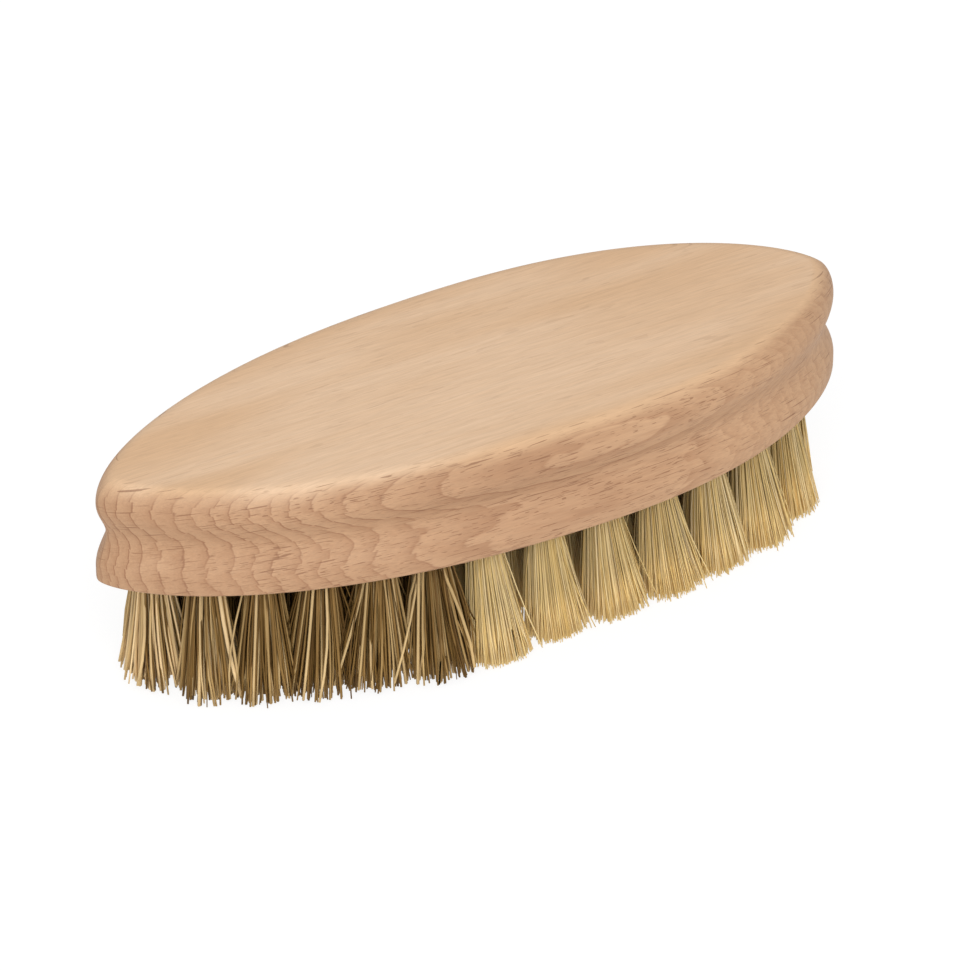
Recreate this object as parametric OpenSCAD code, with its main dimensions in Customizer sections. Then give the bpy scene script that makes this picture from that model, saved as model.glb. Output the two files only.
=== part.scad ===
// Vegetable brush: a grooved beech block filled with tufts of plant fibre.
// The brush stands on its trimmed bristle tips at z = 0, +Z runs up through the
// block, and +X points along the grain to the fuller end with the soft fibre.

/* [Block] */
// Length of the block from end to end
block_l = 135; // [115:1:160]
// Width of the block at its widest line
block_w = 52.4; // [46:0.2:64]
// Height of the block from sole to crown
block_h = 18; // [16:0.5:24]
// Sharpness of the ends: more draws them to a point
end_power = 0.668; // [0.56:0.002:0.76]
// Straightness of the flanks: more keeps the width further along
flank_power = 2.314; // [2:0.002:2.8]
// Share by which the end with the soft fibre is fuller
fullness = 0.11; // [0:0.01:0.18]

/* [Edge] */
// Radius of the sole's edge
sole_r = 0.5; // [0.2:0.1:1.4]
// Height above the sole where the finger groove starts
groove_low = 2; // [1.5:0.1:3]
// Height above the sole of the groove's deepest line
groove_mid = 8.2; // [6:0.1:10]
// Height above the sole where the groove runs out into the lip
groove_high = 13.5; // [12:0.1:14.5]
// Depth of the finger groove
groove_d = 1.9; // [0.5:0.1:2.2]
// How far the lip stands back from the sole
lip_back = 0.4; // [0:0.1:1]
// How far the crown's rounding reaches in from the lip
crown_reach = 4.3; // [2:0.1:6]

/* [Filling] */
// Length of the trimmed bristles below the sole
bristle_l = 21.5; // [16:0.5:30]
// Diameter of the bristle holes
hole_d = 6; // [4.6:0.1:6.6]
// Depth of the bristle holes, without the drill's point
hole_depth = 10; // [8:0.5:12]
// Full angle of the drill's point
drill_angle = 118; // [90:1:150]
// Steps between soft tufts on each side of the outer row, from the fuller end's tuft
soft_steps = 7; // [5:1:7]
// Steps between stiff tufts on each side, up to the other end's tuft
stiff_steps = 6; // [4:1:6]
// Length of a step between stiff tufts, as a share of one between soft tufts
stiff_share = 0.84; // [0.8:0.01:1]
// Distance from the outer row to the outline at the flanks
outer_inset = 6.5; // [6:0.1:8]
// Distance from the outer row to the outline at the ends
outer_end = 9.3; // [8:0.1:11]
// Tufts in the inner row
inner_count = 20; // [12:2:20]
// Distance from the outer to the inner row at the flanks
row_gap = 9.6; // [9.3:0.1:10]
// Distance from the outer to the inner row at the ends
row_end_gap = 12.5; // [12:0.1:14]
// Tufts along the middle line
middle_count = 5; // [1:1:5]
// Distance between tufts along the middle line
middle_pitch = 11; // [10:0.1:11.4]
// How far the middle line of tufts sits towards the fuller end
middle_shift = 0; // [-0.5:0.1:1]
// Place along the block where stiff fibre gives way to soft fibre
fibre_change = -14; // [-30:1:20]

/* [Bristles] */
// Strands drawn in each tuft
strand_count = 9; // [4:1:9]
// Radius of a strand where it leaves the hole
strand_r = 0.54; // [0.4:0.02:0.56]
// Radius of a strand at its tip
strand_tip_r = 0.8; // [0.4:0.02:0.82]
// Gap left between the tips of one tuft and the next where they stand closest
tip_gap = 0.1; // [0:0.1:1.6]
// Share of its distance from the middle by which a tuft leans outwards
lean = 0.024; // [0:0.002:0.05]
// How much shorter than the rest the shortest strands are
ragged = 1.4; // [0:0.1:4]
// Depth to which the tips are cut flat at the standing plane
trim_d = 0.5; // [0.1:0.1:1]

/* [Anchors] */
// Thickness of the flat anchor wire
anchor_t = 0.35; // [0.25:0.05:0.6]
// Height of an anchor along the hole
anchor_h = 1.8; // [1:0.1:2.4]
// How far an anchor bites into the wood on each side
anchor_bite = 0.7; // [0.3:0.1:1]
// Thickness of the fibre folded over an anchor
fold_t = 1.6; // [1:0.1:2.4]
// Gap between the fibre and the wood of its hole
fibre_gap = 0.1; // [0.05:0.01:0.2]
// Gap between an anchor and what it passes through
anchor_gap = 0.04; // [0.02:0.01:0.1]

/* [Hidden] */
$fn = 48;

// Points round each outline, and steps in each stretch of the edge profile
outline_n = 120;
sole_steps = 2;
groove_steps = 4;
crown_steps = 5;
// Points round the line on which a row of tufts is spaced
row_n = 360;
// Sides of a strand
strand_sides = 3;
// Turn between the strands of a tuft, which packs them evenly
golden_turn = 137.508;
// Share of that turn by which each tuft's strands are turned on from the last one's
tuft_turn = 1.37;
// Power of a tuft's spread along its length: over 1 bends the strands outwards
spread_power = 1.25;
// How far a strand starts inside the fibre in its hole
strand_root = 1.2;
// Where a strand bends, as a share of its length
bend_share = 0.5;
// Overlap of a cutting shape past the face that it opens
cut = 1;

sole_z = bristle_l;
half_l = block_l / 2;
half_w = block_w / 2;
plug_r = hole_d / 2 - fibre_gap;
plug_h = hole_depth - fibre_gap;
anchor_w = hole_d + 2 * anchor_bite;
anchor_z = sole_z + plug_h - fold_t - anchor_h;

// Half the width at u, from -1 at one end to 1 at the other, before it is scaled
function raw_width(u) = pow(max(0, 1 - pow(abs(u), flank_power)), end_power) * (1 + fullness * u);
widest = max([for (u = [-1:0.005:1]) raw_width(u)]);

// The outline with both of its half sizes drawn in, as n points anticlockwise
function outline(in_l, in_w, n) = [
    for (i = [0:n - 1])
        let (u = cos(360 * i / n), side = i < n / 2 ? 1 : -1)
            [(half_l - in_l) * u, side * (half_w - in_w) * raw_width(u) / widest]
];

// Edge profile from the sole up, as pairs of inset and height above the sole
edge_profile = concat(
    [for (i = [0:sole_steps])
        let (a = 90 * i / sole_steps) [sole_r * (1 - sin(a)), sole_r * (1 - cos(a))]],
    [for (i = [0:groove_steps])
        let (s = i / groove_steps)
            [groove_d * (1 - cos(180 * s)) / 2, groove_low + (groove_mid - groove_low) * s]],
    [for (i = [1:groove_steps])
        let (s = i / groove_steps)
            [lip_back + (groove_d - lip_back) * (1 + cos(180 * s)) / 2,
             groove_mid + (groove_high - groove_mid) * s]],
    [for (i = [1:crown_steps])
        let (a = 90 * i / crown_steps)
            [lip_back + crown_reach * (1 - cos(a)), groove_high + (block_h - groove_high) * sin(a)]]
);

// Running length round a closed line, one value a point and the whole at the end
function running_length(line) = [
    for (i = 0, s = 0; i <= len(line);
         s = s + norm(line[(i + 1) % len(line)] - line[i % len(line)]), i = i + 1) s
];

// Places on the outline drawn in, each at its share of the way round from the fuller end
function row_places(in_l, in_w, shares) =
    let (line = outline(in_l, in_w, row_n),
         run = running_length(line),
         to_x = [for (i = [0:row_n]) [run[i], line[i % row_n].x]],
         to_y = [for (i = [0:row_n]) [run[i], line[i % row_n].y]])
    [for (share = shares)
        let (s = run[row_n] * share) [lookup(s, to_x), lookup(s, to_y)]];

// Shares of the way round at which the outer row's tufts stand: even steps to the change of
// fibre, closer ones on to the other end, and the same again on the way back
soft_step = 0.5 / (soft_steps + stiff_steps * stiff_share);
one_side = concat(
    [for (k = [0:soft_steps]) k * soft_step],
    [for (k = [1:stiff_steps]) (soft_steps + k * stiff_share) * soft_step]
);
outer_shares = concat(one_side, [for (k = [len(one_side) - 2:-1:1]) 1 - one_side[k]]);
outer_count = len(outer_shares);
inner_shares = [for (k = [0:inner_count - 1]) k / inner_count];

outer_places = row_places(outer_end, outer_inset, outer_shares);
inner_places = row_places(outer_end + row_end_gap, outer_inset + row_gap, inner_shares);
middle_places = [
    for (k = [0:middle_count - 1]) [((middle_count - 1) / 2 - k) * middle_pitch + middle_shift, 0]
];
places = concat(outer_places, inner_places, middle_places);

// Distance between the two closest tufts, and how far from a tuft's middle that lets its
// strands spread at the tips
closest = min([for (i = [1:len(places) - 1], j = [0:i - 1]) norm(places[i] - places[j])]);
tip_spread = (closest * (1 + lean) - tip_gap) / 2 - strand_tip_r;

function two_digits(k) = k < 10 ? str("0", k) : str(k);
TUFTS = concat(
    [for (k = [1:outer_count]) str("outer_tuft_", two_digits(k))],
    [for (k = [1:inner_count]) str("inner_tuft_", two_digits(k))],
    [for (k = [1:middle_count]) str("middle_tuft_", two_digits(k))]
);

// Solid skinned over a stack of rings with the same number of points
module skin(rings) {
    n = len(rings[0]);
    last = len(rings) - 1;
    polyhedron(
        points = [for (ring = rings) each ring],
        faces = concat(
            [[for (i = [0:n - 1]) i]],
            [for (r = [0:last - 1], i = [0:n - 1])
                let (j = (i + 1) % n) each [
                    [r * n + i, (r + 1) * n + i, (r + 1) * n + j],
                    [r * n + i, (r + 1) * n + j, r * n + j]
                ]],
            [[for (i = [n - 1:-1:0]) last * n + i]]
        ),
        convexity = 8
    );
}

// Everything that is done at each tuft's place on the sole
module at_places() {
    for (p = places) translate([p.x, p.y, sole_z]) children();
}

// Flat anchor lying along the grain, grown by a gap all round
module anchor_strip(gap) {
    translate([0, 0, anchor_z - sole_z + anchor_h / 2])
        cube([anchor_w + 2 * gap, anchor_t + 2 * gap, anchor_h + 2 * gap], center = true);
}

// Drilled hole with the drill's point, opening downwards
module bristle_hole() {
    rotate_extrude()
        polygon([
            [0, -cut],
            [hole_d / 2, -cut],
            [hole_d / 2, hole_depth],
            [0, hole_depth + hole_d / 2 / tan(drill_angle / 2)]
        ]);
}

// Beech block, with its finger groove, its bristle holes and the anchors' bites
module block() {
    color("#d8b48e")
        difference() {
            skin([
                for (e = edge_profile)
                    [for (p = outline(e[0], e[0], outline_n)) [p.x, p.y, sole_z + e[1]]]
            ]);
            at_places() bristle_hole();
            at_places() anchor_strip(anchor_gap);
        }
}

// Flat steel anchors that hold the folded fibre in the holes
module tuft_anchors() {
    color("#9a9ea3") at_places() anchor_strip(0);
}

// Centre of tuft k at share t of the way from the sole to the tips
function tuft_centre(k, t) = [places[k].x * (1 + lean * t), places[k].y * (1 + lean * t)];

// Cross-section of strand j of tuft k at height z, turned with the strand
function strand_ring(k, j, z) =
    let (t = max(0, (sole_z - z) / sole_z),
         reach = plug_r - strand_r,
         spread = reach + (tip_spread - reach) * pow(t, spread_power),
         away = spread * sqrt((j + 0.5) / strand_count),
         turn = golden_turn * (j + tuft_turn * k),
         r = strand_r + (strand_tip_r - strand_r) * t,
         mid = tuft_centre(k, t) + away * [cos(turn), sin(turn)])
    [for (i = [0:strand_sides - 1])
        let (a = turn + 360 * i / strand_sides) [mid.x + r * cos(a), mid.y + r * sin(a), z]];

// Fibre packed in its hole round the anchor, with the strands that leave the hole
module tuft(k) {
    tip_z = rands(-trim_d, ragged, strand_count, k + 1);
    color(places[k].x < fibre_change ? "#75603f" : "#d2bd84")
        union() {
            translate([places[k].x, places[k].y, sole_z])
                difference() {
                    cylinder(h = plug_h, r = plug_r);
                    anchor_strip(anchor_gap);
                }
            for (j = [0:strand_count - 1]) {
                z = max(0, tip_z[j]);
                skin([
                    strand_ring(k, j, z),
                    strand_ring(k, j, z + (sole_z - z) * bend_share),
                    strand_ring(k, j, sole_z + strand_root)
                ]);
            }
        }
}

block();
tuft_anchors();
for (k = [0:len(TUFTS) - 1])
    tuft(k);
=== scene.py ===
import math
from typing import NamedTuple

import bmesh
import bpy
import numpy as np
from bpy.props import FloatProperty, FloatVectorProperty, IntProperty, PointerProperty
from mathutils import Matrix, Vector
from mathutils.geometry import delaunay_2d_cdt


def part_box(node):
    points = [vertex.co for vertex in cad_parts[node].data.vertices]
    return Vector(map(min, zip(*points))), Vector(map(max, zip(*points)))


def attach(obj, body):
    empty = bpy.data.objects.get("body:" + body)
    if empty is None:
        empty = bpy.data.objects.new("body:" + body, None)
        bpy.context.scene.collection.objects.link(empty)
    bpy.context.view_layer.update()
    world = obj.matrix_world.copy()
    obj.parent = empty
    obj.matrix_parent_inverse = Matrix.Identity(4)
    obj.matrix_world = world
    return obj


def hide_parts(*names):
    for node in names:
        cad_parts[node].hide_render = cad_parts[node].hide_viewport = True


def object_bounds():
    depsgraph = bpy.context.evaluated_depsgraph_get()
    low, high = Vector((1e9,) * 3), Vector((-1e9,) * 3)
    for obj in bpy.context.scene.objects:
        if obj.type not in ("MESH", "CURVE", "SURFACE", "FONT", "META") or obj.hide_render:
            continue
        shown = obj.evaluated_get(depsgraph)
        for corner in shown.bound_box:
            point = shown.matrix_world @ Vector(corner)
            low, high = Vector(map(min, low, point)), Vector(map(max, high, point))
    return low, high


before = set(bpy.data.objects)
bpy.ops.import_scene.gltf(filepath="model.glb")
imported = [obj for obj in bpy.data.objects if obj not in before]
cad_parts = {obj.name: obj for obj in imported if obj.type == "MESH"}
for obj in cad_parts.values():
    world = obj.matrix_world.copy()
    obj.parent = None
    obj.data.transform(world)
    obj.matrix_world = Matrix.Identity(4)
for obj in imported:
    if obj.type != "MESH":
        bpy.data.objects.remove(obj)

bl_info = {
    "name": "Vegetable Brush",
    "version": (1, 0, 0),
    "blender": (4, 5, 0),
    "location": "3D View > Sidebar > Brush",
    "description": "Grooved beech block filled with tufts of soft and stiff plant fibre",
    "category": "Object",
}

CAD_LOW, CAD_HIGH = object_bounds()
BLOCK_LOW, BLOCK_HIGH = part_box("block")
SOLE_Z = BLOCK_LOW.z
TUFT_NODES = sorted(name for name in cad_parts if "_tuft_" in name)
MM = 0.001


# Settings that a user would change


def length(name, description, default):
    """A size in metres, shown with the scene's unit."""
    return FloatProperty(
        name=name, description=description, default=default, min=0.0, unit="LENGTH", precision=5
    )


def number(name, description, default, low=0.0, high=1.0):
    """A plain number, such as a share, from 0 to 1 where nothing else is said."""
    return FloatProperty(name=name, description=description, default=default, min=low, max=high)


def angle(name, description, degrees):
    """An angle, shown in degrees."""
    return FloatProperty(name=name, description=description, default=math.radians(degrees),
                         subtype="ANGLE")


def power(name, description, default):
    """Power of a lamp in watts."""
    return FloatProperty(name=name, description=description, default=default, unit="POWER")


def linear(v):
    """Scene-linear value of a screen value from 0 to 255."""
    v /= 255
    return v / 12.92 if v <= 0.04045 else ((v + 0.055) / 1.055) ** 2.4


def screen(*values):
    """Scene-linear colour of a colour given as screen values."""
    return tuple(linear(v) for v in values)


def colour(name, description, *values):
    """A colour written as it shows on screen, from 0 to 255, and kept as scene-linear light."""
    return FloatVectorProperty(
        name=name, description=description, subtype="COLOR", size=3, min=0.0, max=1.0,
        default=screen(*values),
    )


class BlockSettings(bpy.types.PropertyGroup):
    """Shape of the block's outline and of its edge."""

    end_power: number("Sharpness of the ends", "More draws the ends to a point", 0.668, 0.4, 1.0)
    flank_power: number("Straightness", "More keeps the width further along", 2.314, 1.5, 4.0)
    fullness: number("Fullness", "Share by which the soft end is fuller", 0.11, 0.0, 0.3)
    sole_r: length("Sole radius", "Radius of the sole's edge", 0.5 * MM)
    groove_low: length("Groove start", "Height above the sole where the groove starts", 2 * MM)
    groove_mid: length("Groove middle", "Height above the sole of its deepest line", 8.2 * MM)
    groove_high: length("Groove end", "Height above the sole where it meets the lip", 13.5 * MM)
    groove_d: length("Groove depth", "Depth of the finger groove", 1.9 * MM)
    lip_back: length("Lip", "How far the lip stands back from the sole", 0.4 * MM)
    crown_reach: length("Crown rounding", "How far it reaches in from the lip", 4.3 * MM)
    hole_d: length("Hole", "Diameter of the bristle holes", 6 * MM)
    hole_depth: length("Hole depth", "Depth without the drill's point", 10 * MM)


class BeechSettings(bpy.types.PropertyGroup):
    """Colours and growth rings of the steamed beech."""

    crown: colour("Long grain", "Wood of the flat crown", 218, 186, 154)
    # Besides the crown's warmer streaks, this colour is painted over the crown's rounded rim as
    # shade.
    crown_warm: colour("Long grain, warm", "Warmer streaks of the crown", 208, 171, 134)
    # The sides' colour is darker than the crown's partly as painted shade, for light that falls
    # from above, and partly for the rings' figure.
    side: colour("Side", "Early wood on the sides", 179, 141, 108)
    side_late: colour("Side, late wood", "Late wood before a ring's line", 158, 118, 87)
    line: colour("Ring line", "Thin line that ends a ring", 126, 83, 58)
    ray: colour("Ray", "Medullary rays cut across", 118, 78, 53)
    layer_tilt: angle("Layer tilt", "Turn of the growth layers about the grain", 14.7)
    ring_pitch: length("Ring pitch", "Mean distance between growth rings", 1.488 * MM)
    ring_swing: number("Ring swing", "How many rings the spacing runs ahead and behind", 0.6)
    ray_pitch: length("Ray pitch", "Mean distance between the rays that break the rings", 1.4 * MM)
    faded: number("Faded rings", "How much of the rings' contrast shows at the fuller end", 0.15)
    swing_length: length("Swing length", "Depth over which the spacing swings once", 19.35 * MM)


class FibreSettings(bpy.types.PropertyGroup):
    """Counts, sizes and spread of the two kinds of fibre."""

    soft_count: IntProperty(name="Soft fibres", description="Fibres in a soft tuft", default=760)
    soft_radius: length("Soft radius", "Mean radius of a soft fibre", 0.12 * MM)
    soft_ragged: length("Soft trim", "How much shorter the shortest usual fibre is", 0.8 * MM)
    stiff_count: IntProperty(name="Stiff fibres", description="Fibres in a stiff tuft", default=220)
    stiff_radius: length("Stiff radius", "Mean radius of a stiff fibre", 0.19 * MM)
    stiff_ragged: length("Stiff trim", "How much shorter the shortest usual fibre is", 1.2 * MM)
    straw_radius: length("Straw radius", "Mean radius of the pale stalks among them", 0.28 * MM)
    root_radius: length("Bundle", "Radius of a tuft where it leaves its hole", 2.45 * MM)
    core: number("Core", "Radius of a soft tuft's dense middle, as a share of the tuft's", 0.82)
    spread_x: length("Spread along", "Radius of a tuft's tips along the block", 5.15 * MM)
    stiff_spread: number("Stiff spread", "How many times as wide a stiff tuft's tips are", 1.085,
                         1.0, 2.0)
    spread_y: length("Spread across", "Radius of a tuft's tips across the block", 4.3 * MM)
    lean: number("Lean", "Share of its x by which a tuft leans out along the block", 0.03)
    stiff_splay: number("Stiff splay", "Share of its y by which a stiff tuft leans out", 0.13)
    drift: length("Drift", "How far the soft tips are brushed to +X, at most", 2.1 * MM)
    push: number("Push", "How much more of its y a tuft at the change leans out", 0.14)
    end_push: number("End push", "How much more of its y a tuft at the soft end leans out", 0.25)
    end_lift: length("End lift", "How much shorter the outermost stiff fibres are", 2 * MM)
    tuck: length("Tuck", "How far the tips of the tufts at both ends keep in", 2.2 * MM)
    corner: number("Corner", "How square the trimmed end of a soft tuft is", 0.12)
    change_x: FloatProperty(
        name="Change", description="Place where stiff fibre gives way to soft fibre",
        default=-14 * MM, unit="LENGTH",
    )


class StageSettings(bpy.types.PropertyGroup):
    """Camera and lights."""

    azimuth: angle("Azimuth", "Camera's turn round the brush", -30.437)
    elevation: angle("Elevation", "How steeply the camera looks down", 32.732)
    distance: length("Distance", "From the camera to the point that it frames", 948.6 * MM)
    framed_height: length("Framed height", "Height of that point on the brush's axis", 30.5 * MM)
    pixels_per_mm: number("Scale", "Pixels a millimetre at that point", 6.296, 1.0, 20.0)
    framed_right: number("Right", "Pixels from the middle to that point", -11.375, -500, 500)
    framed_up: number("Up", "Pixels from the middle up to that point", 72.385, -500, 500)
    sky: number("Sky", "Strength of the even light from all round", 0.7, 0.0, 5.0)
    key: power("Key light", "Power of the soft light from the left", 9.3)
    fill: power("Fill light", "Power of the low light from the front", 1.4)


SETTINGS = {
    "brush_block": BlockSettings,
    "brush_beech": BeechSettings,
    "brush_fibre": FibreSettings,
    "brush_stage": StageSettings,
}


# Meshes from arrays


def make_piece(name, points, quads, triangles, material):
    """Object whose mesh holds the points, smooth four-sided faces and flat three-sided ones."""
    mesh = bpy.data.meshes.new(name)
    corners = np.concatenate([quads.ravel(), triangles.ravel()]).astype(np.int32)
    sides = np.concatenate([np.full(len(quads), 4), np.full(len(triangles), 3)]).astype(np.int32)
    starts = np.concatenate([[0], np.cumsum(sides)[:-1]]).astype(np.int32)
    mesh.vertices.add(len(points))
    mesh.vertices.foreach_set("co", points.astype(np.float32).ravel())
    mesh.loops.add(len(corners))
    mesh.loops.foreach_set("vertex_index", corners)
    mesh.polygons.add(len(sides))
    mesh.polygons.foreach_set("loop_start", starts)
    mesh.polygons.foreach_set("loop_total", sides)
    mesh.polygons.foreach_set("use_smooth", sides == 4)
    mesh.update(calc_edges=True)
    mesh.validate()
    piece = bpy.data.objects.new(name, mesh)
    bpy.context.scene.collection.objects.link(piece)
    mesh.materials.append(material)
    return piece


def point_rows(mesh, kind):
    """The mesh's points, with the kind "co", or their normals, with "normal", as rows."""
    rows = np.empty(3 * len(mesh.vertices), np.float32)
    mesh.vertices.foreach_get(kind, rows)
    return rows.reshape(-1, 3)


def set_attribute(piece, name, values):
    """Keeps one number a vertex under a name that a material can read."""
    layer = piece.data.attributes.new(name, "FLOAT", "POINT")
    layer.data.foreach_set("value", values.astype(np.float32))


def strip_faces(rows, columns):
    """Four-sided faces between the rows of a grid of points, where each row closes in a loop."""
    i, j = np.meshgrid(np.arange(rows - 1), np.arange(columns), indexing="ij")
    k = (j + 1) % columns
    return np.stack([i * columns + j, i * columns + k, (i + 1) * columns + k,
                     (i + 1) * columns + j], -1).reshape(-1, 4)


def unit_circle(points):
    """Points round a circle of radius 1, anticlockwise from +X."""
    turn = 2 * np.pi * np.arange(points) / points
    return np.stack([np.cos(turn), np.sin(turn)], -1)


def raised(flat, z):
    """Flat points, all raised to one height."""
    return np.column_stack([flat, np.full(len(flat), z)])


def loop_edges(points):
    """Pairs of numbers that join each point of a loop to the next one."""
    here = np.arange(points)
    return np.column_stack([here, np.roll(here, -1)])


# Materials


def opaque(colour_or_socket):
    """A plain colour with full alpha, and a socket as it is."""
    if isinstance(colour_or_socket, bpy.types.NodeSocket):
        return colour_or_socket
    return (*colour_or_socket[:3], 1.0)


class Shader:
    """Adds nodes to one tree and links them as they are named."""

    def __init__(self, tree):
        self.tree = tree

    def feed(self, node, inputs):
        """Links each input that is given a socket, and sets each that is given a value."""
        for key, value in inputs.items():
            if isinstance(value, bpy.types.NodeSocket):
                self.tree.links.new(value, node.inputs[key])
            else:
                node.inputs[key].default_value = value

    def add(self, kind, inputs=None, **values):
        """New node: inputs are numbers or sockets, and values are the node's own settings."""
        node = self.tree.nodes.new("ShaderNode" + kind)
        for key, value in values.items():
            setattr(node, key, value)
        self.feed(node, inputs or {})
        return node

    def place(self):
        """The point's place in the brush's own coordinates."""
        return self.add("TexCoord").outputs["Object"]

    def attribute(self, name):
        """The number that the mesh keeps under a name."""
        return self.add("Attribute", attribute_name=name).outputs["Fac"]

    def math(self, operation, a, b=0.0, c=0.0):
        """Result of one calculation, with the operation named as in the Math node."""
        return self.add("Math", {0: a, 1: b, 2: c}, operation=operation).outputs[0]

    def stretched(self, vector, x, y, z):
        """The vector with each axis divided, so that a noise is as long as given on each."""
        scale = (1 / x, 1 / y, 1 / z)
        return self.add("VectorMath", {0: vector, 1: scale}, operation="MULTIPLY").outputs[0]

    def noise(self, vector, detail=2.0):
        """Cloudy noise from 0 to 1, with features about 1 long."""
        node = self.add("TexNoise", {"Vector": vector, "Scale": 1.0, "Detail": detail})
        return node.outputs["Fac"]

    def between(self, value, low, high, to_low=0.0, to_high=1.0):
        """The value carried smoothly from one range to another, and held at its ends."""
        node = self.add("MapRange", {"Value": value, "From Min": low, "From Max": high,
                                     "To Min": to_low, "To Max": to_high},
                        interpolation_type="SMOOTHSTEP")
        return node.outputs[0]

    def ramp(self, value, stops):
        """Ramp through pairs of place and level, where a level is a brightness or a colour."""
        node = self.add("ValToRGB", {"Fac": value})
        elements = node.color_ramp.elements
        while len(elements) < len(stops):
            elements.new(0.5)
        for element, (place, level) in zip(elements, stops):
            element.position = place
            element.color = opaque(level if isinstance(level, tuple) else (level, level, level))
        return node.outputs["Color"]

    def mix(self, factor, a, b, blend="MIX"):
        """Two colours, plain ones or sockets, mixed by a factor."""
        inputs = {0: factor, 6: opaque(a), 7: opaque(b)}
        return self.add("Mix", inputs, data_type="RGBA", blend_type=blend).outputs[2]

    def layered(self, base, *layers):
        """The base colour with the layers mixed over it in turn, each a share and a colour."""
        for shown, over in layers:
            base = self.mix(shown, base, over)
        return base

    def shaded(self, colour_socket, shade):
        """The colour times a grey, which darkens it below 1 and lightens it above."""
        grey = self.add("CombineColor", {0: shade, 1: shade, 2: shade}).outputs[0]
        return self.mix(1.0, colour_socket, grey, blend="MULTIPLY")

    def bump(self, height, strength, distance):
        """Normal of a surface with that relief."""
        inputs = {"Height": height, "Strength": strength, "Distance": distance}
        return self.add("Bump", inputs).outputs[0]


def emptied(owner):
    """The Shader of a material's or a world's tree, without the nodes that it starts with."""
    owner.use_nodes = True
    owner.node_tree.nodes.clear()
    return Shader(owner.node_tree)


def new_material(name):
    """Material with a Principled shader, and the Shader that adds to it."""
    material = bpy.data.materials.new(name)
    shader = emptied(material)
    principled = shader.add("BsdfPrincipled")
    shader.add("OutputMaterial", {"Surface": principled.outputs[0]})
    return material, shader, principled


def streaks_group():
    """Group: slow change of shade along a strand, and fine streaks, each from 0 to 1."""
    name = "Streaks"
    if name in bpy.data.node_groups:
        return bpy.data.node_groups[name]
    tree = bpy.data.node_groups.new(name, "ShaderNodeTree")
    sockets = tree.interface
    sockets.new_socket(name="Vector", in_out="INPUT", socket_type="NodeSocketVector")
    sockets.new_socket(name="Coarse", in_out="OUTPUT", socket_type="NodeSocketFloat")
    sockets.new_socket(name="Fine", in_out="OUTPUT", socket_type="NodeSocketFloat")
    shader = Shader(tree)
    start = tree.nodes.new("NodeGroupInput").outputs["Vector"]
    finer_by = (3.1, 3.7, 3.7)
    finer = shader.add("VectorMath", {0: start, 1: finer_by}, operation="MULTIPLY").outputs[0]
    shader.feed(tree.nodes.new("NodeGroupOutput"),
                {"Coarse": shader.noise(start), "Fine": shader.noise(finer, detail=3.0)})
    return tree


def streaks(shader, vector):
    """The streaks group placed in a material, with the vector that sets its lengths."""
    node = shader.add("Group", {"Vector": vector}, node_tree=streaks_group())
    return node.outputs["Coarse"], node.outputs["Fine"]


def growth_rings(shader, turned, slow, beech):
    """How late the wood is within its ring, and the thin line that ends the ring, from 0 to 1.

    The count of rings at a depth d through the layers, in millimetres, is
    -d / pitch + swing * sin(2 pi (d + swing_start) / swing_length). The depth is y with waves
    added, and with a step at each ray's sheet, so that the rings break there. The step differs
    along and through the sheet too, about every 8 and 4 millimetres.
    """
    swing_start, first_ring = 15.6, 0.16
    sheet_bend, sheets_apart = 4.0, 5.7
    cell_length, cell_depth = 8, 4
    x, depth, z = shader.add("SeparateXYZ", {0: turned}).outputs
    quick = shader.noise(shader.stretched(turned, 5.0, 1.6, 1.3))
    bend = shader.noise(shader.stretched(turned, 16.0, 12.0, 30.0), detail=0.0)
    sheet = shader.math("FLOOR", shader.math("MULTIPLY_ADD", z, MM / beech.ray_pitch,
                                             shader.math("MULTIPLY", bend, sheet_bend)))
    cell = shader.add("CombineXYZ", {0: shader.math("MULTIPLY", x, 1 / cell_length),
                                     1: shader.math("MULTIPLY", depth, 1 / cell_depth),
                                     2: shader.math("MULTIPLY", sheet, sheets_apart)})
    step = shader.noise(cell.outputs[0], detail=0.0)
    for wave, size in ((slow, 1.1), (quick, 0.4), (step, 1.0)):
        depth = shader.math("MULTIPLY_ADD", shader.math("SUBTRACT", wave, 0.5), size, depth)
    turn = shader.math("MULTIPLY", shader.math("ADD", depth, swing_start),
                       2 * math.pi * MM / beech.swing_length)
    swing = shader.math("MULTIPLY", shader.math("SINE", turn), beech.ring_swing)
    rings = shader.math("MULTIPLY_ADD", depth, -MM / beech.ring_pitch, swing)
    within = shader.math("FRACT", shader.math("ADD", rings, first_ring))
    late = shader.ramp(within, [(0.0, 0.0), (0.1, 0.02), (0.55, 0.3), (0.88, 0.9), (0.96, 0.9),
                                (1.0, 0.0)])
    line = shader.ramp(within, [(0.0, 0.4), (0.03, 0.0), (0.88, 0.0), (0.955, 1.0), (1.0, 0.5)])
    uneven = shader.between(shader.noise(shader.stretched(turned, 9.0, 3.0, 3.0)), 0.3, 0.62,
                            0.35, 1.0)
    return late, shader.math("MULTIPLY", line, uneven)


def medullary_rays(shader, turned, x, cut):
    """Rays from 0 to 1: short dashes that crowd in places, and a few longer ones.

    The short ones are fainter where the surface cuts across the layers, and at the fuller end.
    """
    crowd = shader.math("MULTIPLY_ADD", shader.noise(shader.stretched(turned, 16.0, 8.0, 4.0)),
                        0.24, -0.12)
    short = shader.noise(shader.stretched(turned, 1.7, 9.0, 0.15), detail=0.0)
    short = shader.between(shader.math("ADD", short, crowd), 0.71, 0.75)
    short = shader.math("MULTIPLY", short, shader.between(cut, 0.3, 0.8, 1.0, 0.3))
    short = shader.math("MULTIPLY", short, shader.between(x, 30.0, 50.0, 1.0, 0.4))
    long = shader.noise(shader.stretched(turned, 5.0, 9.0, 0.16), detail=0.0)
    return shader.math("MAXIMUM", short, shader.between(long, 0.73, 0.76))


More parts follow.
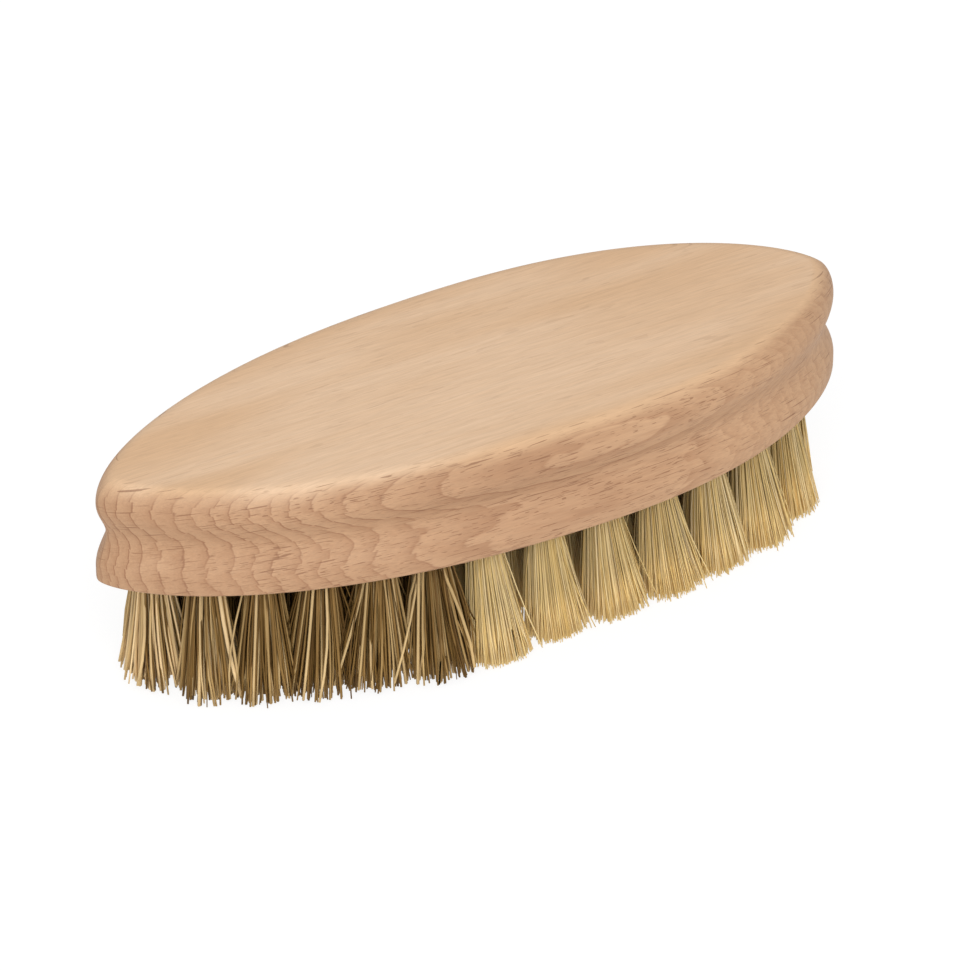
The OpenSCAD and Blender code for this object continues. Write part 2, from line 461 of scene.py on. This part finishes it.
def beech_material(beech):
    """Steamed beech, as one block of wood in the brush's own coordinates.

    In the turned coordinates x runs along the grain, y through the growth layers and z along
    them, all in millimetres. Within each ring the wood darkens towards a thin line. The crown
    is paler and shows little of the rings, and the sides are darker, partly for their figure
    and partly as painted shade for light that falls from above. The crown's rounded rim is
    darkened too, as painted shade. The rings' contrast fades towards the fuller end.
    """
    material, shader, principled = new_material("beech")
    turned = shader.add("Mapping", {
        "Vector": shader.place(),
        "Rotation": (beech.layer_tilt, 0.0, 0.0),
        "Scale": (1 / MM, 1 / MM, 1 / MM),
    }).outputs[0]
    side = shader.attribute("side")
    cut = shader.attribute("cut")
    x = shader.add("SeparateXYZ", {0: turned}).outputs["X"]
    slow = shader.noise(shader.stretched(turned, 26.0, 9.0, 5.0), detail=1.0)
    broad = shader.noise(shader.stretched(turned, 60.0, 10.0, 14.0), detail=1.0)
    coarse, fine = streaks(shader, shader.stretched(turned, 14.0, 0.8, 0.8))
    late, line = growth_rings(shader, turned, slow, beech)
    ray = medullary_rays(shader, turned, x, cut)

    fade_start, fade_end = -12.0, 22.0
    fade = shader.between(x, fade_start, fade_end, 1.0, beech.faded)
    faded = shader.math("SUBTRACT", 1.0, fade)
    crown = shader.layered(
        beech.crown,
        (shader.between(broad, 0.35, 0.65), beech.crown_warm),
        (shader.between(coarse, 0.3, 0.75, 0.0, 0.28), beech.crown_warm),
        (shader.math("MULTIPLY", late, 0.05), beech.side_late),
        (shader.math("MULTIPLY", line, 0.1), beech.line),
        # Painted shade: where the crown rounds over into the sides it is darkened to the warm
        # colour, more so towards the fuller end, to damp the highlight that the light lays on the
        # rim.
        (shader.math("MULTIPLY", shader.between(side, 0.0, 0.3), faded), beech.crown_warm),
    )
    late_shown = shader.math("MULTIPLY", late, shader.between(x, 20.0, 40.0, 0.74, 0.3))
    line = shader.math("MULTIPLY", line, fade)
    line_shown = shader.math("MULTIPLY", line, shader.between(cut, 0.2, 0.7, 0.3, 0.85))
    flank = shader.layered(
        beech.side,
        (shader.between(fade, beech.faded, 1.0, 0.28, 0.0), beech.crown_warm),
        (late_shown, beech.side_late),
        (line_shown, beech.line),
        (shader.between(broad, 0.35, 0.65, 0.0, 0.2), beech.side_late),
        (shader.between(coarse, 0.42, 0.75, 0.0, 0.4), beech.side_late),
    )
    ragged = shader.math("MULTIPLY_ADD", shader.math("SUBTRACT", slow, 0.5), 0.5, side)
    # Towards the fuller end the sides' darker colour reaches further up the rim, partly as painted
    # shade there.
    ragged = shader.math("MULTIPLY_ADD", faded, 0.14, ragged)
    ray_shown = shader.math("MULTIPLY", ray, shader.between(side, 0.0, 0.6, 0.1, 0.62))
    wood = shader.layered(crown, (shader.between(ragged, 0.35, 0.95), flank),
                          (ray_shown, beech.ray))
    wood = shader.shaded(wood, shader.between(fine, 0.2, 0.8, 0.91, 1.06))

    relief = shader.math("MULTIPLY", fine, 0.5)
    for height, size in ((late, 0.35), (ray, -0.6), (line, -0.5)):
        relief = shader.math("MULTIPLY_ADD", height, size, relief)
    shader.feed(principled, {
        "Base Color": wood,
        "Normal": shader.bump(relief, 0.35, 0.08 * MM),
        "Roughness": shader.between(fine, 0.2, 0.8, 0.56, 0.68),
        "Specular IOR Level": 0.35,
    })
    return material


def fibre_material(name, tones, roughness, painted_tip_light):
    """Plant fibre: each fibre has its own tone and is streaked, and its colour is painted lighter
    towards its tip, as painted light for the tips that lie in shade near the floor.
    """
    material, shader, principled = new_material(name)
    streak_size = (0.5 * MM, 0.5 * MM, 4 * MM)
    coarse, fine = streaks(shader, shader.stretched(shader.place(), *streak_size))
    # Streaks, times painted light: a little darker over the root half, and lifted towards the tip.
    shade = shader.math("MULTIPLY", shader.between(coarse, 0.25, 0.75, 0.93, 1.04),
                        shader.between(shader.attribute("along"), 0.5, 1.0, 0.96, painted_tip_light))
    shader.feed(principled, {
        "Base Color": shader.shaded(shader.ramp(shader.attribute("tone"), tones), shade),
        "Normal": shader.bump(fine, 0.25, 0.03 * MM),
        "Roughness": shader.between(fine, 0.25, 0.75, roughness, roughness + 0.14),
        "Specular IOR Level": 0.2,
    })
    return material


SOFT_TONES = [
    (0.0, screen(197, 165, 101)),
    (0.3, screen(206, 177, 116)),
    (0.65, screen(211, 186, 132)),
    (1.0, screen(217, 195, 151)),
]
STIFF_TONES = [
    (0.0, screen(83, 58, 22)),
    (0.25, screen(110, 82, 38)),
    (0.45, screen(137, 106, 59)),
    (0.62, screen(166, 137, 89)),
    (0.8, screen(190, 162, 115)),
    (1.0, screen(220, 192, 146)),
]


def steel_material():
    """Flat steel wire of the anchors, drawn along its length."""
    material, shader, principled = new_material("anchor steel")
    streak_size = (6 * MM, 0.2 * MM, 0.2 * MM)
    coarse, fine = streaks(shader, shader.stretched(shader.place(), *streak_size))
    shader.feed(principled, {
        "Base Color": shader.mix(coarse, screen(150, 152, 155), screen(182, 183, 184)),
        "Metallic": 1.0,
        "Normal": shader.bump(fine, 0.3, 0.02 * MM),
        "Roughness": shader.between(fine, 0.2, 0.8, 0.28, 0.5),
    })
    return material


# Beech block


OUTLINE_POINTS, WIDTH_SAMPLES = 480, 4001
HOLE_POINTS = 40
DRILL_POINT = math.radians(118)


def raw_width(u, block):
    """Half width at u, from -1 at one end to 1 at the other, before it is scaled.

    It is (1 - |u| ^ flank_power) ^ end_power, times 1 + fullness u.
    """
    bulge = np.clip(1 - np.abs(u) ** block.flank_power, 0, None) ** block.end_power
    return bulge * (1 + block.fullness * u)


def outline(inset, block):
    """Points of the block's outline, with both half sizes drawn in by the inset.

    x is the half length times the cosine of the turn, and y the half width there.
    """
    u = unit_circle(OUTLINE_POINTS)[:, 0]
    side = np.repeat([1.0, -1.0], OUTLINE_POINTS // 2)
    widest = raw_width(np.linspace(-1, 1, WIDTH_SAMPLES), block).max()
    half_l = (BLOCK_HIGH.x - BLOCK_LOW.x) / 2
    half_w = (BLOCK_HIGH.y - BLOCK_LOW.y) / 2
    half_width_there = (half_w - inset) * raw_width(u, block) / widest
    return np.column_stack([(half_l - inset) * u, side * half_width_there])


def edge_profile(block):
    """Pairs of inset and height above the sole, from the sole up to the crown.

    A quarter round at the sole, half a cosine wave into the groove, half a wave out of it to
    the lip, and a quarter of an ellipse over to the crown.
    """
    sole_steps, groove_steps, crown_steps = 8, 24, 20
    height = BLOCK_HIGH.z - SOLE_Z
    quarter = np.linspace(0, np.pi / 2, sole_steps)
    rise = np.linspace(0, 1, groove_steps)
    over = np.linspace(0, np.pi / 2, crown_steps)
    sole = np.stack([block.sole_r * (1 - np.sin(quarter)), block.sole_r * (1 - np.cos(quarter))])
    into = np.stack([block.groove_d * (1 - np.cos(np.pi * rise)) / 2,
                     block.groove_low + (block.groove_mid - block.groove_low) * rise])
    out = np.stack([block.lip_back
                    + (block.groove_d - block.lip_back) * (1 + np.cos(np.pi * rise)) / 2,
                    block.groove_mid + (block.groove_high - block.groove_mid) * rise])
    lip = np.stack([block.lip_back + block.crown_reach * (1 - np.cos(over)),
                    block.groove_high + (height - block.groove_high) * np.sin(over)])
    return np.concatenate([sole, into, out[:, 1:], lip[:, 1:]], 1).T


def block_shell(block):
    """Points and faces of a grid of rings up the edge profile, and on to the crown's middle line.

    Over the crown each point keeps its x, and its y shrinks evenly to nothing.
    """
    crown_rows = 12
    rings = [raised(outline(inset, block), SOLE_Z + height)
             for inset, height in edge_profile(block)]
    rings += [rings[-1] * (1, keep, 1) for keep in np.linspace(1, 0, crown_rows + 1)[1:]]
    return np.concatenate(rings), strip_faces(len(rings), OUTLINE_POINTS)


def sole_faces(rim, holes):
    """Triangles of the sole between its rim and the rims of the holes, facing down.

    The triangulation fills the holes too, so triangles whose middle lies in a hole are dropped.
    """
    within_rim, tiny = 1, 1e-9
    loops = [rim, *holes]
    starts = np.cumsum([0] + [len(loop) for loop in loops[:-1]])
    edges = np.concatenate([loop_edges(len(loop)) + start for loop, start in zip(loops, starts)])
    found = delaunay_2d_cdt(np.concatenate(loops).tolist(), edges.tolist(), [], within_rim, tiny)
    points, faces = np.array(found[0]), np.array(found[2])
    middle = points[faces].mean(1)
    centres = np.array([hole.mean(0) for hole in holes])
    radius = np.hypot(*(holes[0][0] - centres[0]))
    away = np.hypot(*(middle[:, None] - centres).transpose(2, 0, 1)).min(1)
    faces = faces[away > radius]
    a, b, c = points[faces].transpose(1, 0, 2)
    turned = np.cross(b - a, c - a) > 0
    faces[turned] = faces[turned][:, ::-1]
    return points, faces


def hole_wall(rim, block):
    """Blind hole: its rim, the rim again at the hole's depth, and the drill's point."""
    centre = np.tile(rim.mean(0), (len(rim), 1))
    point_up = block.hole_depth + block.hole_d / 2 / math.tan(DRILL_POINT / 2)
    rings = [raised(rim, SOLE_Z), raised(rim, SOLE_Z + block.hole_depth),
             raised(centre, SOLE_Z + point_up)]
    return np.concatenate(rings), strip_faces(len(rings), len(rim))[:, ::-1]


def tuft_place(node):
    """Middle of the disc at the top of the tuft's plug, which is the middle of its hole."""
    points = point_rows(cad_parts[node].data, "co").astype(float)
    top = points[points[:, 2] > points[:, 2].max() - 0.01 * MM]
    return (top.min(0) + top.max(0))[:2] / 2


def merge_doubles(piece, reach):
    """Joins points closer than the reach, which closes seams and poles, and turns faces out."""
    mesh = piece.data
    work = bmesh.new()
    work.from_mesh(mesh)
    bmesh.ops.remove_doubles(work, verts=work.verts, dist=reach)
    bmesh.ops.recalc_face_normals(work, faces=work.faces)
    work.to_mesh(mesh)
    work.free()
    mesh.update()


def set_grain(piece, beech):
    """Keeps how far each point faces sideways, and how far its surface cuts across the layers."""
    normals = point_rows(piece.data, "normal")
    through = np.array([0.0, math.cos(beech.layer_tilt), -math.sin(beech.layer_tilt)])
    set_attribute(piece, "side", np.hypot(normals[:, 0], normals[:, 1]))
    set_attribute(piece, "cut", np.sqrt(np.clip(1 - (normals @ through) ** 2, 0, 1)))


def make_block(block, beech):
    """The beech block with its finger groove and its blind bristle holes."""
    holes = [tuft_place(node) + block.hole_d / 2 * unit_circle(HOLE_POINTS)
             for node in TUFT_NODES]
    sole, sole_triangles = sole_faces(outline(edge_profile(block)[0, 0], block), holes)
    parts = [block_shell(block)] + [hole_wall(hole, block) for hole in holes]
    starts = np.cumsum([0] + [len(points) for points, _ in parts])
    points = np.concatenate([points for points, _ in parts] + [raised(sole, SOLE_Z)])
    quads = np.concatenate([faces + start for (_, faces), start in zip(parts, starts)])
    piece = make_piece("beech_block", points, quads, sole_triangles + starts[-1],
                       beech_material(beech))
    merge_doubles(piece, reach=0.002 * MM)
    set_grain(piece, beech)
    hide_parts("block")
    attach(piece, "root")


# Fibre


class Habit(NamedTuple):
    """How the single fibres of one kind differ from each other, and how fine their tubes are."""

    wander: float  # How far tips lie from their even places, as a share of the spread
    strays: float  # Share of the fibres that stray
    stray_reach: float  # How far those stray, as a share of the spread
    bow: float  # How far a fibre bows, in metres
    stray_bow: float  # How many times as far a stray one bows
    uneven: float  # How much the thickness differs, as a share
    tone_shape: tuple  # The two numbers of the beta distribution of tones
    sides: int  # Corners round a tube
    rings: int  # Rings of points along it


SOFT_HABIT = Habit(wander=0.05, strays=0.03, stray_reach=0.2, bow=0.22 * MM, stray_bow=2.5,
                   uneven=0.16, tone_shape=(2.2, 1.9), sides=3, rings=5)
STIFF_HABIT = Habit(wander=0.13, strays=0.1, stray_reach=0.33, bow=0.4 * MM, stray_bow=3.5,
                    uneven=0.22, tone_shape=(1.2, 1.7), sides=4, rings=6)

# How far up in its hole a fibre starts, and the power by which it spreads along its length
ROOT_DEPTH = 2 * MM
SPREAD_POWER = 1.15
# Each tuft draws its chances from a seed of its own, which is this plus the tuft's number
FIRST_SEED = 1000

# Millimetres beyond the change of fibre where tips are brushed and pushed most, and how widely
BRUSHED_MOST, PUSHED_MOST = (25, 22), (2, 8)
# Millimetres from the middle where a change towards one of the ends starts, and its length
STRAW_END, TUCKED_END, PUSHED_END, SHORT_END = (42, 16), (42, 14), (36, 16), (58, 5)


def bell(value, middle, width):
    """1 at the middle, and e ^ -((value - middle) / width) ^ 2 away from it."""
    return math.exp(-((value - middle) / width) ** 2)


def slope(value, start, run):
    """0 up to the start, then evenly up to 1 over the run."""
    return np.clip((value - start) / run, 0, 1)


def fibre_tubes(root, tip, bow, radius, sides, rings):
    """Tapered tubes, one a fibre, from root to tip, as arrays over all fibres at once.

    At share t of the way the middle is root + (tip - root) t in height, and
    root + (tip - root) t ^ SPREAD_POWER + bow sin(pi t) (0.4 + 0.6 t) across. Gives points,
    side faces and end faces, and each point's share along its fibre.
    """
    count = len(root)
    taper, last_turn = 0.15, 5
    t = np.linspace(0, 1, rings)[None, :, None]
    across = root[:, None, :2] + (tip - root)[:, None, :2] * t ** SPREAD_POWER
    across = across + bow[:, None, :] * np.sin(np.pi * t) * (0.4 + 0.6 * t)
    height = root[:, None, 2:] + (tip - root)[:, None, 2:] * t
    turn = 2 * np.pi * np.arange(sides) / sides
    turn = turn[None, None] + np.linspace(0, last_turn, count)[:, None, None]
    thick = radius[:, None, None] * (1 - taper * t)
    x = across[..., :1] + thick * np.cos(turn)
    y = across[..., 1:] + thick * np.sin(turn)
    points = np.stack([x, y, np.broadcast_to(height, x.shape)], -1).reshape(-1, 3)
    wall = strip_faces(rings, sides)[:, ::-1]
    fan = np.column_stack([np.zeros(sides - 2, int), np.arange(1, sides - 1), np.arange(2, sides)])
    ends = np.concatenate([fan, (rings - 1) * sides + fan[:, ::-1]])
    first = (np.arange(count) * rings * sides)[:, None, None]
    along = np.broadcast_to(t, (count, rings, sides)).ravel()
    return points, (wall + first).reshape(-1, 4), (ends + first).reshape(-1, 3), along


def tuft_core(place, tip, fibre):
    """Dense middle of a soft tuft: a closed oval body along the fibres' own paths.

    At share t of the way its middle is place + (tip - place) t ^ SPREAD_POWER, and its half
    sizes go in the same way from the bundle's radius to the spread, all times core. It ends
    just short of the tips.
    """
    sides, rings, end = 28, 8, 0.975
    t = np.linspace(0, end, rings)[:, None, None]
    spread = np.array([fibre.spread_x, fibre.spread_y])
    wide = fibre.root_radius + (spread - fibre.root_radius) * t ** SPREAD_POWER
    radius = fibre.core * wide
    across = place + (tip - place) * t ** SPREAD_POWER + radius * unit_circle(sides)
    height = np.broadcast_to((SOLE_Z + ROOT_DEPTH) * (1 - t), (rings, sides, 1))
    points = np.concatenate([across, height], -1).reshape(-1, 3)
    points = np.concatenate([points, [points[:sides].mean(0), points[-sides:].mean(0)]])
    top_middle, low_middle = rings * sides, rings * sides + 1
    rim = loop_edges(sides)
    caps = np.concatenate([
        np.column_stack([np.full(sides, top_middle), rim]),
        np.column_stack([np.full(sides, low_middle), (rings - 1) * sides + rim[:, ::-1]])])
    along = np.append(np.repeat(t.ravel(), sides), [t[0, 0, 0], t[-1, 0, 0]])
    return points, strip_faces(rings, sides)[:, ::-1], caps, along


def joined(first, second):
    """Two bodies as one, each given as points, four-sided faces, triangles and shares along."""
    start = len(first[0])
    points, quads, triangles, along = second
    moved = (points, quads + start, triangles + start, along)
    return [np.concatenate(pair) for pair in zip(first, moved)]


def spread_disc(rng, count):
    """Points spread evenly over a disc of radius 1, in random order, with some jitter."""
    golden_angle, jitter = np.pi * (3 - math.sqrt(5)), 0.02
    order = rng.permutation(count) + 0.5
    turn = order * golden_angle + rng.uniform(0, 2 * np.pi)
    away = np.sqrt(order / count)
    points = np.stack([away * np.cos(turn), away * np.sin(turn)], -1)
    return points + rng.normal(0, jitter, points.shape)


def tuft_lean(rng, place, stiff, fibre):
    """How far a tuft's tips stand from below its hole, over the floor.

    It leans out by a share of its place, more so near the change of fibre and at the soft end.
    It is brushed to +X, most of all among the soft tufts, but keeps in at both ends.
    """
    soft_splay, brushed_all, brushed_share, chance = 0.02, 0.6 * MM, 0.01, 0.3 * MM
    x = place[0] / MM
    from_change = (place[0] - fibre.change_x) / MM
    brushed = fibre.drift * bell(from_change, *BRUSHED_MOST) + brushed_all
    brushed += brushed_share * place[0]
    brushed -= fibre.tuck * np.sign(place[0]) * slope(abs(x), *TUCKED_END)
    pushed = fibre.push * bell(from_change, *PUSHED_MOST)
    pushed += fibre.end_push * slope(x, *PUSHED_END)
    lean = place * (fibre.lean, (fibre.stiff_splay if stiff else soft_splay) + pushed)
    return lean + ((brushed, 0.0) + rng.normal(0, chance, 2))


def tip_places(rng, middle, disc, stiff, fibre, to_end):
    """Places of the tips over the floor round their middle, and which of the fibres stray."""
    habit = STIFF_HABIT if stiff else SOFT_HABIT
    least_splay, most_splay, stray_stretch, wider_end = 0.92, 1.08, 1.3, 0.2
    splay = rng.uniform(least_splay, most_splay)
    reach = disc * splay + rng.normal(0, habit.wander, disc.shape)
    if not stiff:
        diagonal = 2 * disc[:, 0] * disc[:, 1] / (disc ** 2).sum(1)
        reach *= 1 + fibre.corner * diagonal[:, None] ** 2
    stray = rng.random(len(disc)) < habit.strays * (1 - to_end)
    reach[stray] *= rng.uniform(1.0, stray_stretch, stray.sum())[:, None]
    reach[stray] += rng.normal(0, habit.stray_reach, (stray.sum(), 2))
    wide = (fibre.spread_x, fibre.spread_y * (1 + wider_end * to_end))
    return middle + reach * wide * (fibre.stiff_spread if stiff else 1.0, 1.0), stray


def tip_heights(rng, root, tips, ragged, fibre):
    """Height of each tip over the floor: how short its fibre is, and what its slant takes up.

    A fibre that slants over a distance d ends d ^ 2 / (2 length) higher, nearly. Most fibres
    are hardly short, a few are twice as short, and those at the very stiff end are shorter.
    """
    rarity, few = 2.2, 0.03
    short = ragged * rng.random(len(tips)) ** rarity
    short[rng.random(len(tips)) < few] *= 2.0
    lifted = ((tips - root[:, :2]) ** 2).sum(1) / (2 * SOLE_Z)
    lifted += fibre.end_lift * slope(-tips[:, 0] / MM, *SHORT_END) ** 2
    return short + lifted


def fibre_tones(rng, straw, stiff, to_end):
    """Tone of each fibre from 0 to 1: pale for the straw, and by chance for the others."""
    if not stiff:
        return rng.beta(*SOFT_HABIT.tone_shape, len(straw))
    least_pale, most_pale, paler_end, palest_other = 0.55, 0.85, 0.18, 0.7
    pale = rng.uniform(least_pale, most_pale, len(straw)) + paler_end * to_end
    return np.where(straw, pale, palest_other * rng.beta(*STIFF_HABIT.tone_shape, len(straw)))


def make_tuft(node, index, material, stiff, fibre):
    """One tuft: a bundle that leaves its hole together, spreads, and is trimmed at the floor.

    A share of a stiff tuft's fibres, another one in each tuft, are straw: thick pale stalks.
    """
    if stiff:
        habit, count = STIFF_HABIT, fibre.stiff_count
        usual_radius, ragged = fibre.stiff_radius, fibre.stiff_ragged
    else:
        habit, count = SOFT_HABIT, fibre.soft_count
        usual_radius, ragged = fibre.soft_radius, fibre.soft_ragged
    least_straw, most_straw, more_at_end = 0.07, 0.22, 0.55
    thinnest, thickest, core_tone = 0.5, 1.6, 0.3
    rng = np.random.default_rng(FIRST_SEED + index)
    place = tuft_place(node)
    to_end = slope(-place[0] / MM, *STRAW_END)
    straw = rng.random(count) < (rng.uniform(least_straw, most_straw) + more_at_end * to_end
                                 if stiff else 0.0)
    disc = spread_disc(rng, count)
    root = raised(place + disc * fibre.root_radius, SOLE_Z + ROOT_DEPTH)
    middle = place + tuft_lean(rng, place, stiff, fibre)
    tips, stray = tip_places(rng, middle, disc, stiff, fibre, to_end)
    tip = np.column_stack([tips, tip_heights(rng, root, tips, ragged, fibre)])
    bow = rng.normal(0, habit.bow, (count, 2))
    bow[stray] *= habit.stray_bow
    radius = np.where(straw, fibre.straw_radius, usual_radius)
    radius = radius * np.clip(rng.normal(1, habit.uneven, count), thinnest, thickest)
    body = fibre_tubes(root, tip, bow, radius, habit.sides, habit.rings)
    if not stiff:
        body = joined(body, tuft_core(place, middle, fibre))
    points, quads, ends, along = body
    points[:, :2] = np.clip(points[:, :2], CAD_LOW[:2], CAD_HIGH[:2])
    piece = make_piece(f"{node}_fibres", points, quads, ends, material)
    tone = np.repeat(fibre_tones(rng, straw, stiff, to_end), habit.rings * habit.sides)
    set_attribute(piece, "tone", np.append(tone, np.full(len(points) - len(tone), core_tone)))
    set_attribute(piece, "along", along)
    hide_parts(node)
    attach(piece, "root")


def make_tufts(material, stiff, fibre):
    """Every tuft of one kind of fibre, which is stiff up to the change and soft beyond it."""
    for index, node in enumerate(TUFT_NODES):
        if (tuft_place(node)[0] < fibre.change_x) == stiff:
            make_tuft(node, index, material, stiff, fibre)


# Stage


PHOTO_WIDTH, PHOTO_HEIGHT = 970, 971
# Place of each lamp, the point that it is aimed at, and its side, in metres
LAMPS = {
    "key": ((-0.55, -0.8, 0.95), (0, 0, 0.02), 0.7),
    "fill": ((-0.15, -0.8, 0.16), (0, 0, 0.005), 0.3),
}


def make_camera(stage):
    """Camera at the photograph's angle, aimed so that the framed point lands in its place."""
    a, e = stage.azimuth, stage.elevation
    back = Vector((math.sin(a) * math.cos(e), -math.cos(a) * math.cos(e), math.sin(e)))
    right = Vector((math.cos(a), math.sin(a), 0.0))
    up = back.cross(right)
    focal = stage.pixels_per_mm * stage.distance / MM
    aim = -back - right * (stage.framed_right / focal) - up * (stage.framed_up / focal)
    data = bpy.data.cameras.new("camera")
    data.sensor_width = 36.0
    data.lens = focal / max(PHOTO_WIDTH, PHOTO_HEIGHT) * data.sensor_width
    data.clip_start, data.clip_end = 0.01, 50.0
    camera = bpy.data.objects.new("camera", data)
    camera.location = Vector((0, 0, stage.framed_height)) + back * stage.distance
    camera.rotation_mode = "QUATERNION"
    camera.rotation_quaternion = aim.to_track_quat("-Z", "Y")
    bpy.context.scene.collection.objects.link(camera)
    bpy.context.scene.camera = camera


def seen_directly(shader):
    """1 for rays from the camera, a mirror or glass, and 0 for those that only gather light."""
    path = shader.add("LightPath").outputs
    seen = shader.math("MAXIMUM", path["Is Camera Ray"], path["Is Glossy Ray"])
    return shader.math("MAXIMUM", seen, path["Is Transmission Ray"])


def make_floor():
    """Plain pale floor that shows as white, keeps a light shadow and lights what is above."""
    half_side, grey, glow_strength = 3.0, 0.86, 1.08
    kept_shadow, lit_below = 0.22, 0.3
    material = bpy.data.materials.new("pale floor")
    shader = emptied(material)
    matt = shader.add("BsdfDiffuse", {"Color": (grey, grey, grey, 1.0)}).outputs[0]
    glow = shader.add("Emission", {"Color": (1, 1, 1, 1), "Strength": glow_strength}).outputs[0]
    lift = shader.math("MULTIPLY_ADD", seen_directly(shader), 1 - kept_shadow - lit_below,
                       lit_below)
    mixed = shader.add("MixShader", {0: lift, 1: matt, 2: glow}).outputs[0]
    shader.add("OutputMaterial", {"Surface": mixed})
    corners = raised(half_side * np.array([(-1, -1), (1, -1), (1, 1), (-1, 1)]), 0)
    floor = make_piece("floor", corners, np.array([[0, 1, 2, 3]]), np.empty((0, 3), int), material)


def make_sky(stage):
    """Even white light from all round, which is plain white where it is seen."""
    world = bpy.data.worlds.new("studio")
    shader = emptied(world)
    seen = shader.math("MAXIMUM", seen_directly(shader), stage.sky)
    sky = shader.add("Background", {"Color": (1, 1, 1, 1), "Strength": seen}).outputs[0]
    shader.add("OutputWorld", {"Surface": sky})
    bpy.context.scene.world = world


def make_lamp(name, place, aim, side, watts):
    """Square soft light aimed at a point."""
    data = bpy.data.lights.new(name, "AREA")
    data.shape, data.size, data.energy = "SQUARE", side, watts
    lamp = bpy.data.objects.new(name, data)
    lamp.location = place
    lamp.rotation_mode = "QUATERNION"
    lamp.rotation_quaternion = (Vector(aim) - Vector(place)).to_track_quat("-Z", "Y")
    bpy.context.scene.collection.objects.link(lamp)


# Operators, panel and registration


class BRUSH_OT_stage(bpy.types.Operator):
    """Add the camera, the pale floor, the even sky and the soft light"""

    bl_idname = "brush.stage"
    bl_label = "Stage"

    def execute(self, context):
        stage = context.scene.brush_stage
        bpy.context.scene.view_settings.view_transform = "Standard"
        make_camera(stage)
        make_floor()
        make_sky(stage)
        for name, (place, aim, side) in LAMPS.items():
            make_lamp(name, place, aim, side, getattr(stage, name))
        return {"FINISHED"}


class BRUSH_OT_block(bpy.types.Operator):
    """Make the grooved beech block with its bristle holes"""

    bl_idname = "brush.block"
    bl_label = "Beech block"

    def execute(self, context):
        make_block(context.scene.brush_block, context.scene.brush_beech)
        return {"FINISHED"}


class BRUSH_OT_soft_tufts(bpy.types.Operator):
    """Make the tufts of soft pale fibre"""

    bl_idname = "brush.soft_tufts"
    bl_label = "Soft tufts"

    def execute(self, context):
        # The last number paints the soft tips' colour that many times lighter, as painted light.
        material = fibre_material("soft fibre", SOFT_TONES, roughness=0.55, painted_tip_light=1.46)
        make_tufts(material, False, context.scene.brush_fibre)
        return {"FINISHED"}


class BRUSH_OT_stiff_tufts(bpy.types.Operator):
    """Make the tufts of stiff straw and brown fibre"""

    bl_idname = "brush.stiff_tufts"
    bl_label = "Stiff tufts"

    def execute(self, context):
        # The last number paints the stiff tips' colour that many times lighter, as painted light.
        material = fibre_material("stiff fibre", STIFF_TONES, roughness=0.5, painted_tip_light=1.28)
        make_tufts(material, True, context.scene.brush_fibre)
        return {"FINISHED"}


class BRUSH_OT_anchors(bpy.types.Operator):
    """Give the flat steel anchors in the holes their finish"""

    bl_idname = "brush.anchors"
    bl_label = "Anchors"

    def execute(self, context):
        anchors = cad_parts["tuft_anchors"]
        anchors.data.materials.clear()
        anchors.data.materials.append(steel_material())
        return {"FINISHED"}


OPERATORS = [BRUSH_OT_stage, BRUSH_OT_block, BRUSH_OT_soft_tufts, BRUSH_OT_stiff_tufts,
             BRUSH_OT_anchors]


class BRUSH_PT_panel(bpy.types.Panel):
    """Lists the brush's pieces and their settings"""

    bl_idname = "BRUSH_PT_panel"
    bl_label = "Vegetable brush"
    bl_space_type = "VIEW_3D"
    bl_region_type = "UI"
    bl_category = "Brush"

    def draw(self, context):
        for operator in OPERATORS:
            self.layout.operator(operator.bl_idname)
        for name, group in SETTINGS.items():
            box = self.layout.box()
            for field in group.__annotations__:
                box.prop(getattr(context.scene, name), field)


def register():
    for kind in (*SETTINGS.values(), *OPERATORS, BRUSH_PT_panel):
        bpy.utils.register_class(kind)
    for name, group in SETTINGS.items():
        setattr(bpy.types.Scene, name, PointerProperty(type=group))


def unregister():
    for name in SETTINGS:
        delattr(bpy.types.Scene, name)
    for kind in reversed((*SETTINGS.values(), *OPERATORS, BRUSH_PT_panel)):
        bpy.utils.unregister_class(kind)


def main():
    """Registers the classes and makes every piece."""
    register()
    bpy.ops.brush.stage()
    bpy.ops.brush.block()
    bpy.ops.brush.soft_tufts()
    bpy.ops.brush.stiff_tufts()
    bpy.ops.brush.anchors()


if __name__ == "__main__":
    main()
